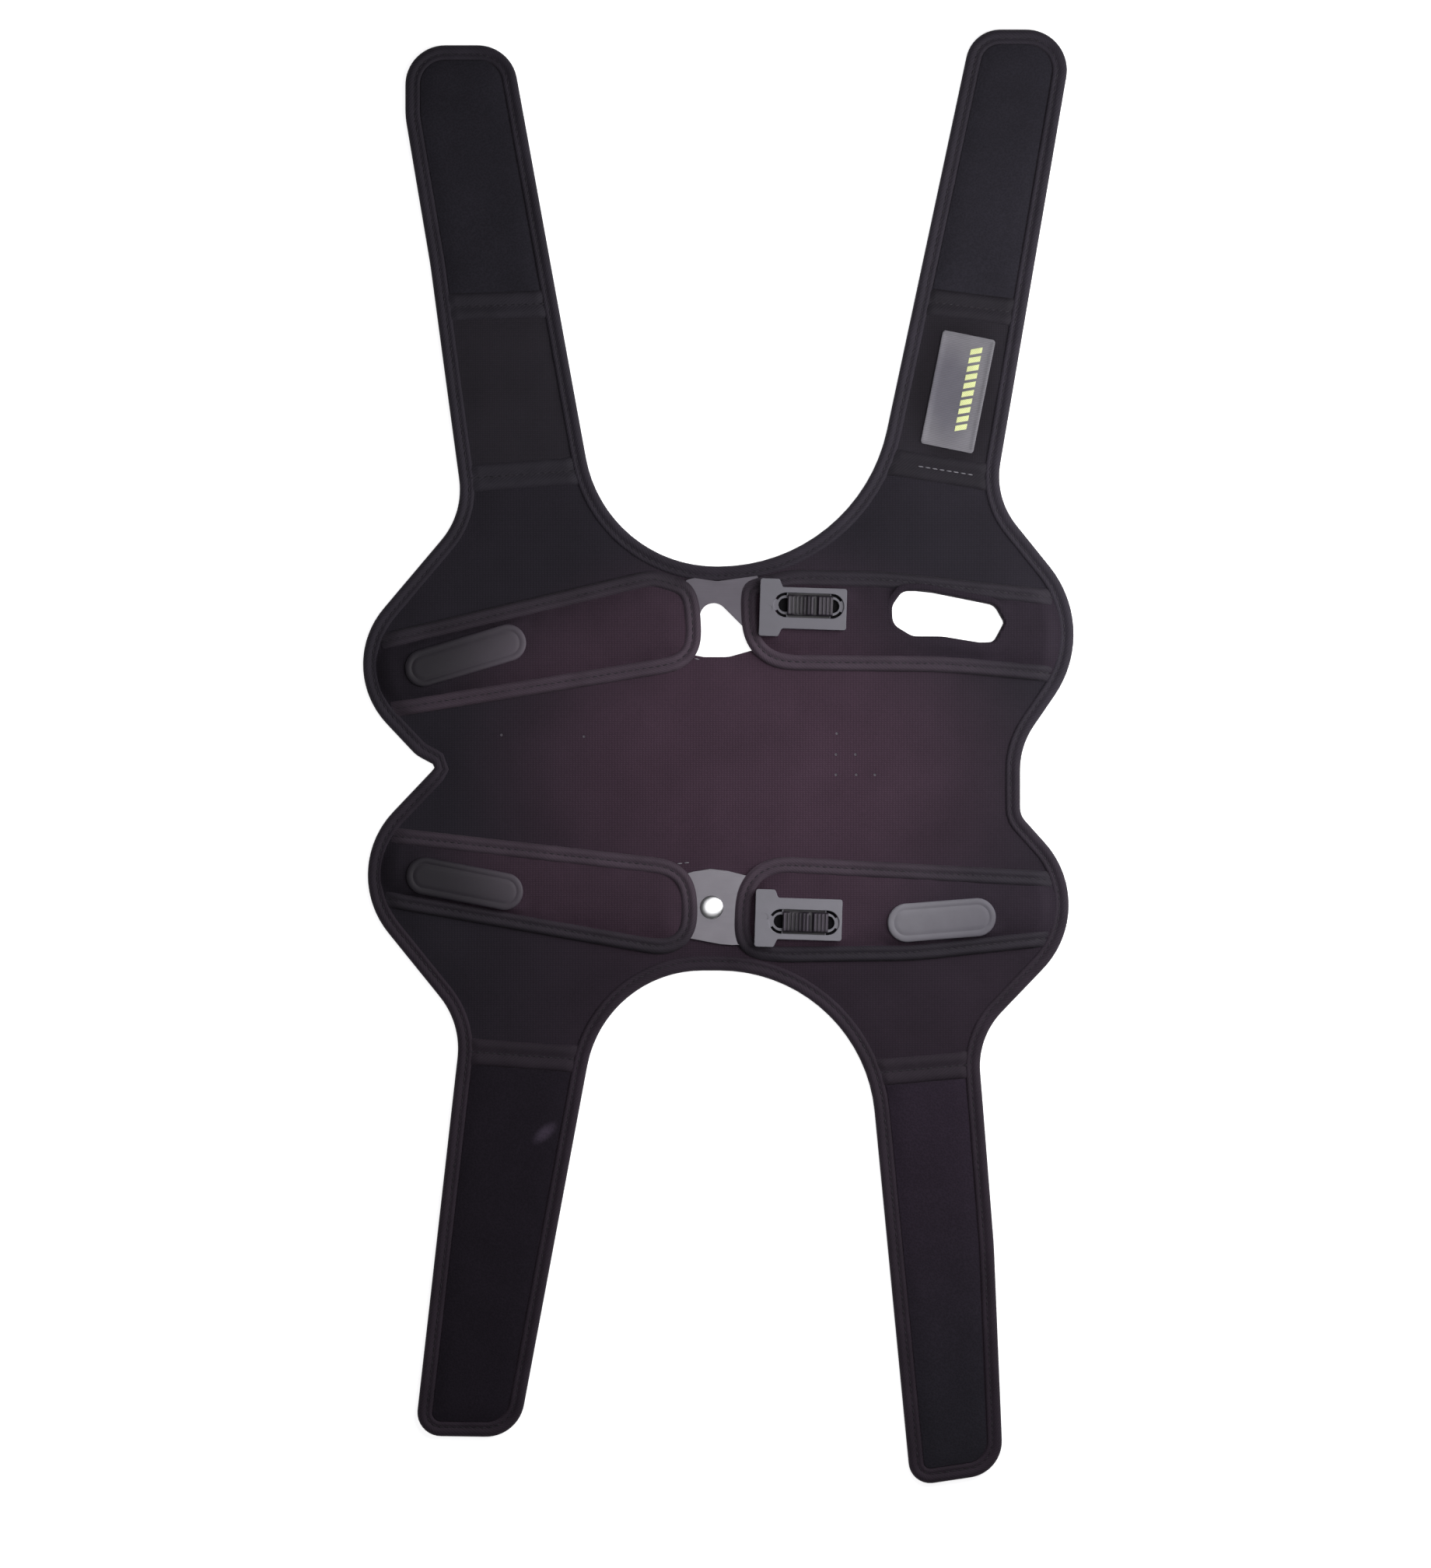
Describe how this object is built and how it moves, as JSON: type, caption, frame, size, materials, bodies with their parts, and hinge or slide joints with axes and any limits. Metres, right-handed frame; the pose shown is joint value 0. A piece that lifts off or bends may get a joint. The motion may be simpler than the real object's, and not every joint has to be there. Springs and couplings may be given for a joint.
{
  "type": "spring knee brace",
  "caption": "Wraparound knee brace of padded cloth laid open, with taped edges, closing straps, side pockets for hinge plates and ribbed slide adjusters.",
  "frame": {"origin": "on the underside of the main panel, midway between the two hinges", "axes": "+X along the leg, +Y along the straps towards the upper strap ends, +Z out of the outer face, away from the leg"},
  "size_m": [0.3287, 0.6728, 0.012],
  "materials": {
    "neoprene": "knit-faced padded cloth, plum black",
    "webbing": "woven elastic, black",
    "tape": "folded binding tape, charcoal",
    "loop_pile": "brushed loop cloth, black",
    "plastic": "moulded, satin grey",
    "steel": "satin spring steel",
    "rivet": "polished domed head",
    "film": "smooth moulded grey with a pressed border",
    "label": "close-woven grey label with a lime bar"
  },
  "bodies": {
    "brace": {"main_panel": "neoprene", "strap_upper_left": "webbing", "strap_upper_right": "webbing", "strap_lower_left": "webbing", "strap_lower_right": "webbing", "strap_tip_upper_left": "webbing", "strap_tip_upper_right": "webbing", "edge_binding": "tape", "seam_band_upper_left_root": "webbing", "seam_band_upper_left_mid": "webbing", "seam_band_upper_right_root": "webbing", "seam_band_upper_right_mid": "webbing", "seam_band_lower_left_root": "webbing", "seam_band_lower_right_root": "webbing", "grip_upper_left": "loop_pile", "grip_upper_right": "loop_pile", "grip_lower_left": "loop_pile", "grip_lower_right": "loop_pile", "hinge_plate_upper": "steel", "hinge_plate_lower": "steel", "hinge_rivet": "rivet", "pocket_upper_left": "neoprene", "pocket_upper_right": "neoprene", "pocket_lower_left": "neoprene", "pocket_lower_right": "neoprene", "pocket_tape_upper_left": "tape", "pocket_tape_upper_right": "tape", "pocket_tape_lower_left": "tape", "pocket_tape_lower_right": "tape", "pad_upper_left": "film", "pad_lower_left": "film", "pad_lower_right": "film", "strap_label": "label", "adjuster_plate_upper": "plastic", "adjuster_plate_lower": "plastic"},
    "slider_upper": {"adjuster_slider_upper": "plastic"},
    "slider_lower": {"adjuster_slider_lower": "plastic"}
  },
  "joints": [
    {"name": "slider_upper_slide", "type": "slide", "parent": "brace", "child": "slider_upper", "axis": [0.9995, -0.0314, 0], "range_m": [-0.0035, 0.0023]},
    {"name": "slider_lower_slide", "type": "slide", "parent": "brace", "child": "slider_lower", "axis": [0.9995, -0.0314, 0], "range_m": [-0.0035, 0.0023]}
  ]
}
